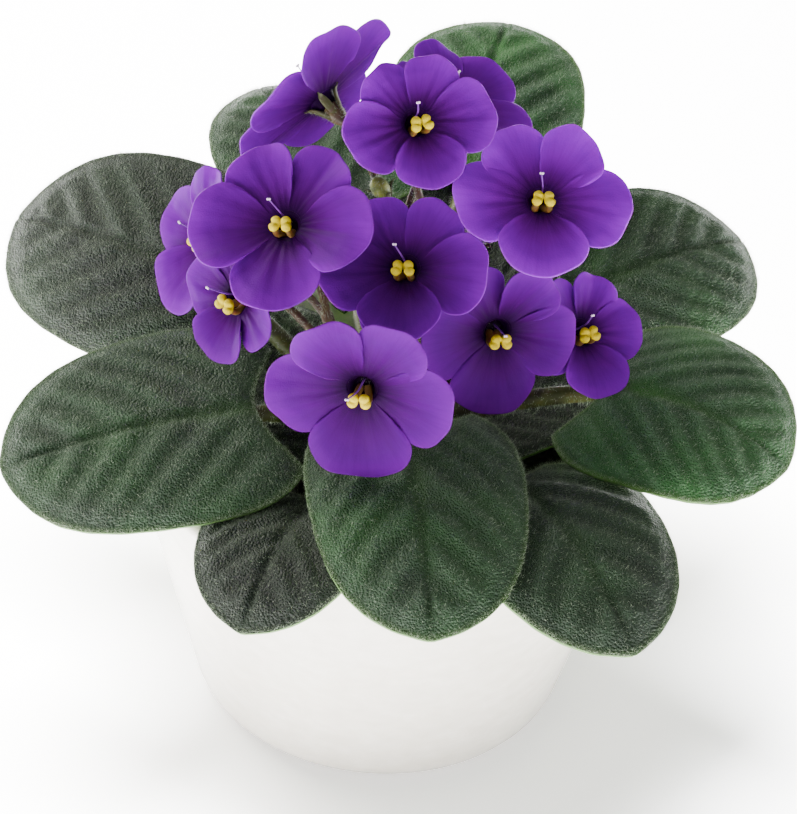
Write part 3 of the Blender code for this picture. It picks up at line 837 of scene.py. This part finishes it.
# Painted sheen: the tops of the swellings are mixed towards a pale silvery grey.
painted_sheen_map = add(leaf_skin, "TexNoise", {"Vector": spot.outputs["Object"], "Scale": 900.0,
                                        "Detail": 2.0})
painted_sheen_amount = add(leaf_skin, "Math", {0: bulge.outputs["Fac"], 1: painted_sheen_map.outputs["Fac"]},
                   operation="MULTIPLY")
painted_sheen_range = add(leaf_skin, "MapRange", {"Value": painted_sheen_amount.outputs["Value"],
                                          "From Min": 0.18, "From Max": 0.75, "To Min": 0.0,
                                          "To Max": 0.26})
with_painted_sheen = add(leaf_skin, "MixRGB", {"Fac": painted_sheen_range.outputs["Result"],
                                    "Color1": green.outputs["Color"],
                                    "Color2": linear("#4d6a4c")})
ribbed = add(leaf_skin, "MixRGB", {"Fac": rib.outputs["Fac"], "Color1": with_painted_sheen.outputs["Color"],
                                   "Color2": linear("#1f460f")})
edged = add(leaf_skin, "MixRGB", {"Fac": edge.outputs["Fac"], "Color1": ribbed.outputs["Color"],
                                  "Color2": linear("#2a4a12")})
# Painted light and shade: the blade's LEAF_SHADES value brightens or darkens its whole colour.
shade = add(leaf_skin, "Attribute", attribute_name="shade")
painted_shading = add(leaf_skin, "HueSaturation", {"Value": shade.outputs["Fac"],
                                        "Color": edged.outputs["Color"]})
feed(leaf_skin, painted_shading.outputs["Color"], shader, "Base Color")
cells = add(leaf_skin, "TexVoronoi", {"Vector": spot.outputs["Object"], "Scale": 1 / SKIN_CELL})
coarse = add(leaf_skin, "TexNoise", {"Vector": spot.outputs["Object"], "Scale": 420.0,
                                     "Detail": 3.0})
height = add(leaf_skin, "Math", {0: coarse.outputs["Fac"], 1: cells.outputs["Distance"]},
             operation="SUBTRACT")
bump = add(leaf_skin, "Bump", {"Height": height.outputs["Value"], "Strength": 0.8,
                               "Distance": 0.6 * MM})
feed(leaf_skin, bump.outputs["Normal"], shader, "Normal")
shader.inputs["Sheen Weight"].default_value = 0.12
shader.inputs["Sheen Roughness"].default_value = 0.35
shader.inputs["Sheen Tint"].default_value = linear("#dbe8d0")

leaf_back, shader = start_material("pale_leaf_underside", 0.6)
# This grain is fitted to the blade's box, although the blade has a modifier.
mottle(leaf_back, shader, 160.0, 3.0, [(0.3, "#3d5c2a"), (0.7, "#587a3c")], in_metres=False)

# %% [markdown]
# ## Hairs
# Leaves, stalks, sepals and buds have fine white hairs, which catch the light as a silver edge. One
# hair is a three-sided spike. Copies of it are stamped on at places spread evenly by area.

# %% Hairs
LEAF_HAIR_LENGTH = 1.15 * MM
LEAF_HAIR_WIDTH = 0.021 * MM
HAIR_LEAN = 0.35
LEAF_HAIRS_PER_MM2 = 2.2
STALK_HAIRS_PER_MM2 = 1.2
FLOWER_STALK_HAIRS_PER_MM2 = 1.6
CUP_HAIRS_PER_MM2 = 2.0
MARGIN_HAIRS = 14.0
hair_white, shader = start_material("white_plant_hair", 0.4, 1.5)
mottle(hair_white, shader, 400.0, 1.0,
       [(0.3, "#7f8f74"), (0.7, "#b9c6ab")], in_metres=False)


def spike():
    """One hair of unit length and width, as a mesh to stamp."""
    shape = bmesh.new()
    bmesh.ops.create_cone(shape, cap_ends=True, segments=3, radius1=1.0, radius2=0.0, depth=1.0)
    bmesh.ops.translate(shape, verts=shape.verts, vec=(0, 0, 0.5))
    mesh = bpy.data.meshes.new("spike")
    shape.to_mesh(mesh)
    shape.free()
    return mesh


SPIKE = spike()
SPIKE_POINTS = np.array([vert.co for vert in SPIKE.vertices])


def stamp(shape, mesh, points, matrix):
    """Adds a copy of the mesh, placed by the matrix."""
    placed = points @ np.array(matrix.to_3x3()).T + np.array(matrix.translation)
    mesh.vertices.foreach_set("co", placed.ravel())
    shape.from_mesh(mesh)


def scatter(shape, count, seed, layer=None):
    """Places and outward directions spread by area over a bmesh, thicker where a layer is 1."""
    triangles = shape.calc_loop_triangles()
    points = np.array([[loop.vert.co for loop in loops] for loops in triangles])
    normals = np.array([loops[0].face.normal for loops in triangles])
    area = np.linalg.norm(np.cross(points[:, 1] - points[:, 0], points[:, 2] - points[:, 0]),
                          axis=1)
    if layer:
        strength = np.array([[loop.vert[layer] for loop in loops] for loops in triangles])
        area = area * (1 + MARGIN_HAIRS * strength.mean(1) ** 2)
    dice = np.random.default_rng(seed)
    picked = dice.choice(len(triangles), count, p=area / area.sum())
    a, b = dice.random((2, count, 1))
    flip = a + b > 1
    a, b = np.where(flip, 1 - a, a), np.where(flip, 1 - b, b)
    corner = points[picked]
    places = corner[:, 0] + a * (corner[:, 1] - corner[:, 0]) + b * (corner[:, 2] - corner[:, 0])
    return places, normals[picked], dice.normal(size=(count, 4))


def hairs(name, shape, per_mm2, length, width, seed, drift=Vector(), layer=None):
    """A coat of hairs over a bmesh, leaning a little at random and all drifting one way."""
    area = sum(face.calc_area() for face in shape.faces) / MM ** 2
    count = int(area * per_mm2)
    coat = bmesh.new()
    for place, normal, roll in zip(*scatter(shape, count, seed, layer)):
        direction = Vector(normal) + Vector(roll[:3]) * HAIR_LEAN + drift
        axes = direction.normalized().to_track_quat("Z", "Y").to_matrix().to_4x4()
        tall = length * min(1.6, max(0.4, 1 + 0.25 * roll[3]))
        stamp(coat, SPIKE, SPIKE_POINTS, Matrix.Translation(Vector(place)) @ axes
              @ Matrix.Diagonal((width, width, tall, 1)))
    finish_piece(name, coat, hair_white, smooth=False)


# %% Leaf stalks
PETIOLE_RADIUS = 2.6 * MM
PETIOLE_TAPER = 0.5
STALK_HAIR_LENGTH = 1.3 * MM
STALK_HAIR_WIDTH = 0.04 * MM
leaf_stalk, shader = start_material("olive_leaf_stalk", 0.5)
mottle(leaf_stalk, shader, 260.0, 3.0, [(0.3, "#2b2a10"), (0.55, "#444a1c"), (0.75, "#5c5a2a")])
shader.inputs["Subsurface Weight"].default_value = 0.1
shader.inputs["Subsurface Scale"].default_value = 1.5 * MM


def petiole_shape(number):
    """The fleshy stalk from the crown to under the blade."""
    place, length, width, rise = blade_frame(number)
    direction, height = LEAVES[number][5:]
    base = place.translation
    root = heading(direction) * CROWN_RADIUS * 0.8 + Vector((0, 0, height * MM))
    outward = Vector((base.x, base.y, 0)).normalized()
    knee = (root + base) / 2 + outward * MM
    knee.z += 0.02 * (base - root).length
    seat = place @ Vector((0, -3.6 * MM, 0))
    under = place @ Vector((0, rise * 0.7 - 4.2 * MM, 0.3 * length))
    path = smooth_path([root, knee, seat, under], 5)
    thick = PETIOLE_RADIUS if length > 20 * MM else PETIOLE_RADIUS * 0.5
    radii = [thick * (1.1 - PETIOLE_TAPER * i / len(path)) for i in range(len(path))]
    shape = bmesh.new()
    swept(shape, path, radii, 14)
    bmesh.ops.recalc_face_normals(shape, faces=shape.faces)
    return shape


# %% Make every leaf
def build_leaf(number):
    shape = blade_shape(number)
    place = blade_frame(number)[0]
    drift = place.to_3x3() @ Vector((0, 0, 0.35))
    name = f"leaf_{number:02d}"
    hairs(name + "_hair", shape, LEAF_HAIRS_PER_MM2, LEAF_HAIR_LENGTH,
          LEAF_HAIR_WIDTH, number, drift=drift,
          layer=shape.verts.layers.float["edge"])
    blade = finish_piece(name + "_blade", shape, leaf_skin,
                         [name] if name in NODES else [])
    thicken(blade, BLADE_THICKNESS, underside=leaf_back)
    shape = petiole_shape(number)
    hairs(name + "_stalk_hair", shape, STALK_HAIRS_PER_MM2, STALK_HAIR_LENGTH, STALK_HAIR_WIDTH,
          50 + number)
    finish_piece(name + "_stalk", shape, leaf_stalk)


for number in LEAVES:
    build_leaf(number)
print("leaves made:", len(LEAVES))

# %% [markdown]
# ## Flower stalks
# The branching stalks keep the frame's routes. They are brownish olive, and they are hairy too.

# %% Flower stalks
flower_stalk, shader = start_material("brown_olive_flower_stalk", 0.5)
mottle(flower_stalk, shader, 300.0, 3.0, [(0.3, "#2c1a12"), (0.55, "#4a3420"), (0.75, "#5d5528")])
shader.inputs["Subsurface Weight"].default_value = 0.1
shader.inputs["Subsurface Scale"].default_value = 1.0 * MM


def build_flower_stalk(node):
    shape = welded(node)
    hairs(node + "_hair", shape, FLOWER_STALK_HAIRS_PER_MM2, STALK_HAIR_LENGTH, STALK_HAIR_WIDTH,
          int(node[-2:]))
    finish_piece(node + "_round", shape, flower_stalk, [node])


for node in sorted(NODES):
    if node.startswith("flower_stalk"):
        build_flower_stalk(node)

# %% [markdown]
# ## Sepals and buds
# Behind each flower five narrow green-brown sepals hold the tube. A bud is the same cup with the
# petals still shut inside it.

# %% Sepals
SEPAL_ROUTE = ((1.5, -3.4), (2.7, -1.6), (3.5, 0.4), (4.4, 1.9), (5.9, 2.6))
SEPAL_HALF_WIDTH = 1.25 * MM
SEPAL_THICKNESS = 0.35 * MM
sepal_green, shader = start_material("green_brown_sepal", 0.5)
mottle(sepal_green, shader, 420.0, 2.0, [(0.3, "#2f2a12"), (0.55, "#45481c"), (0.75, "#4d2f2e")])


def sepal(shape, angle, size):
    """One pointed sepal, curved along the back of the tube."""
    made = bmesh.ops.create_grid(shape, x_segments=6, y_segments=14, size=1.0)
    for vert in made["verts"]:
        u, v = vert.co.x, (vert.co.y + 1) / 2
        slot_at = v * (len(SEPAL_ROUTE) - 1)
        low = min(int(slot_at), len(SEPAL_ROUTE) - 2)
        share = slot_at - low
        (r0, z0), (r1, z1) = SEPAL_ROUTE[low], SEPAL_ROUTE[low + 1]
        r = (r0 + (r1 - r0) * share) * size * MM
        z = (z0 + (z1 - z0) * share) * size * MM
        half = SEPAL_HALF_WIDTH * size * (0.75 + 0.5 * v) * (1 - v ** 3) + 0.05 * MM
        turn = angle - u * half / max(r, 1.2 * MM)
        r -= 0.25 * MM * u * u
        vert.co = Vector((r * math.cos(turn), r * math.sin(turn), z))


def build_sepals(name, matrix, size):
    shape = bmesh.new()
    for index in range(5):
        sepal(shape, math.radians(72 * index + 20), size)
    bmesh.ops.reverse_faces(shape, faces=shape.faces)
    shape.transform(matrix)
    hairs(name + "_hair", shape, CUP_HAIRS_PER_MM2, STALK_HAIR_LENGTH * 0.8, STALK_HAIR_WIDTH,
          7)
    cup = finish_piece(name, shape, sepal_green)
    thicken(cup, SEPAL_THICKNESS)


for number in FLOWER_NUMBERS:
    build_sepals(f"sepals_{number:02d}", FLOWERS[number][0], 1.0)

# %% Buds
# Foot, compass angle, height angle, and the size of the sepals, for each of the two buds.
BUDS = {"bud_01": ((-5.5, 21, 131.5), 200, 60, 0.72, "bud_green"),
        "bud_02": ((16, 9, 128), -60, 55, 0.80, "bud_violet")}
BUD_LOOKS = {"bud_green": ("green_closed_bud", "#4c5a18", "#7f8a34"),
             "bud_violet": ("violet_closed_bud", "#3a0a54", "#7a2a9a")}


def build_bud(name):
    place, azimuth, elevation, size, slot = BUDS[name]
    look, dark, light = BUD_LOOKS[slot]
    skin, shader = start_material(look, 0.5, 1.45)
    mottle(skin, shader, 500.0, 3.0, [(0.35, dark), (0.65, light)])
    shape = welded(name)
    matrix = (Matrix.Translation(Vector(place) * MM)
              @ frame_along(heading(azimuth, elevation)).to_4x4())
    hairs(name + "_hair", shape, CUP_HAIRS_PER_MM2, STALK_HAIR_LENGTH * 0.7, STALK_HAIR_WIDTH,
          3)
    soften(finish_piece(name + "_closed", shape, skin, [name]), 2)
    build_sepals(name + "_sepals", matrix @ Matrix.Translation((0, 0, 1.2 * MM)), size)


for name in BUDS:
    build_bud(name)

# %% [markdown]
# ## Crown and soil
# All stalks rise from a short thick crown. The soil is dark, crumbly peat with chips of bark,
# seen only in the gaps between the leaves.

# %% Crown
crown_skin, shader = start_material("scarred_crown_stem", 0.65)
scar = mottle(crown_skin, shader, 240.0, 4.0,
              [(0.3, "#2a2410"), (0.55, "#434a1e"), (0.75, "#5a5a2c")])
bump = add(crown_skin, "Bump", {"Height": scar.outputs["Fac"], "Strength": 0.6,
                                "Distance": 0.8 * MM})
feed(crown_skin, bump.outputs["Normal"], shader, "Normal")
soften(finish_piece("crown_stem", welded("crown"), crown_skin, ["crown"]), 1)

# %% Soil
SOIL_CELLS = 110
SOIL_LOW, SOIL_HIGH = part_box("soil")
SOIL_LUMP = 5 * MM
SOIL_CRUMB = 1.8 * MM
SOIL_ROUGHNESS = 1.6 * MM
peat, shader = start_material("dark_peat_soil", 0.92, 1.4)
fleck = mottle(peat, shader, 700.0, 4.0,
               [(0.3, "#090706"), (0.55, "#15100c"), (0.72, "#2c221a")], 0.7)
bump = add(peat, "Bump", {"Height": fleck.outputs["Fac"], "Strength": 0.9, "Distance": 0.8 * MM})
feed(peat, bump.outputs["Normal"], shader, "Normal")


def soil_height(x, y):
    """The soil's uneven surface over its gentle mound."""
    radius = min(1.0, math.hypot(x, y) / SOIL_HIGH.x)
    level = SOIL_HIGH.z - 2.5 * MM * radius ** 1.5
    spot = Vector((x, y, 0))
    rough = 0.6 * noise.noise(spot / SOIL_LUMP) + 0.4 * noise.noise(spot / SOIL_CRUMB)
    return level - 0.6 * MM + SOIL_ROUGHNESS * rough * (1 - radius ** 6)


def build_soil():
    """A rough disc, pushed down at its rim to the pot's inner floor and closed there."""
    shape = bmesh.new()
    bmesh.ops.create_grid(shape, x_segments=SOIL_CELLS, y_segments=SOIL_CELLS, size=1.0)
    for vert in shape.verts:
        x, y = vert.co.x, vert.co.y
        s, t = x * math.sqrt(1 - y * y / 2), y * math.sqrt(1 - x * x / 2)
        vert.co = Vector((s * SOIL_HIGH.x * 0.995, t * SOIL_HIGH.x * 0.995, 0))
        vert.co.z = soil_height(vert.co.x, vert.co.y)
    rim = [edge for edge in shape.edges if edge.is_boundary]
    pushed = bmesh.ops.extrude_edge_only(shape, edges=rim)["geom"]
    lower = [item for item in pushed if isinstance(item, bmesh.types.BMVert)]
    bmesh.ops.scale(shape, verts=lower, vec=(0.8, 0.8, 1.0))
    for vert in lower:
        vert.co.z = SOIL_LOW.z
    base = [edge for edge in shape.edges if edge.is_boundary]
    bmesh.ops.holes_fill(shape, edges=base)
    bmesh.ops.recalc_face_normals(shape, faces=shape.faces)
    finish_piece("soil_surface", shape, peat, ["soil"])


build_soil()

# %% Crumbs and bark
CRUMBS = 900
CHIPS = 90
bark, shader = start_material("bark_chips", 0.8)
mottle(bark, shader, 420.0, 4.0, [(0.3, "#120c08"), (0.55, "#281b12"), (0.75, "#4a3626")])


def lump(name, flatness, seed):
    """A small broken piece to stamp: a squashed, dented ball."""
    shape = bmesh.new()
    bmesh.ops.create_icosphere(shape, subdivisions=1, radius=1.0)
    for vert in shape.verts:
        vert.co *= 1 + 0.35 * noise.noise(vert.co * 1.7 + Vector((seed, 0, 0)))
    bmesh.ops.scale(shape, verts=shape.verts, vec=(1.0, 0.65, flatness))
    mesh = bpy.data.meshes.new(name)
    shape.to_mesh(mesh)
    shape.free()
    return mesh, np.array([vert.co for vert in mesh.vertices])


def scatter_lumps(name, count, sizes, flatness, material, seed):
    chance = random.Random(seed)
    kinds = [lump(name + "_kind", flatness, seed + kind) for kind in range(3)]
    pile = bmesh.new()
    for _ in range(count):
        mesh, points = chance.choice(kinds)
        size = chance.uniform(*sizes) * MM
        out = math.sqrt(chance.random()) * (SOIL_HIGH.x - size - 0.5 * MM)
        x, y, _ = heading(chance.uniform(0, 360)) * out
        turn = Matrix.Rotation(chance.uniform(0, 6.28), 4, "Z") @ Matrix.Rotation(
            chance.uniform(-0.5, 0.5), 4, "X")
        place = Matrix.Translation((x, y, soil_height(x, y) + size * flatness * 0.4))
        stamp(pile, mesh, points, place @ turn @ Matrix.Scale(size, 4))
    finish_piece(name, pile, material, smooth=False)


scatter_lumps("soil_crumbs", CRUMBS, (0.6, 1.5), 0.8, peat, 4)
scatter_lumps("bark_pieces", CHIPS, (1.6, 3.6), 0.35, bark, 9)
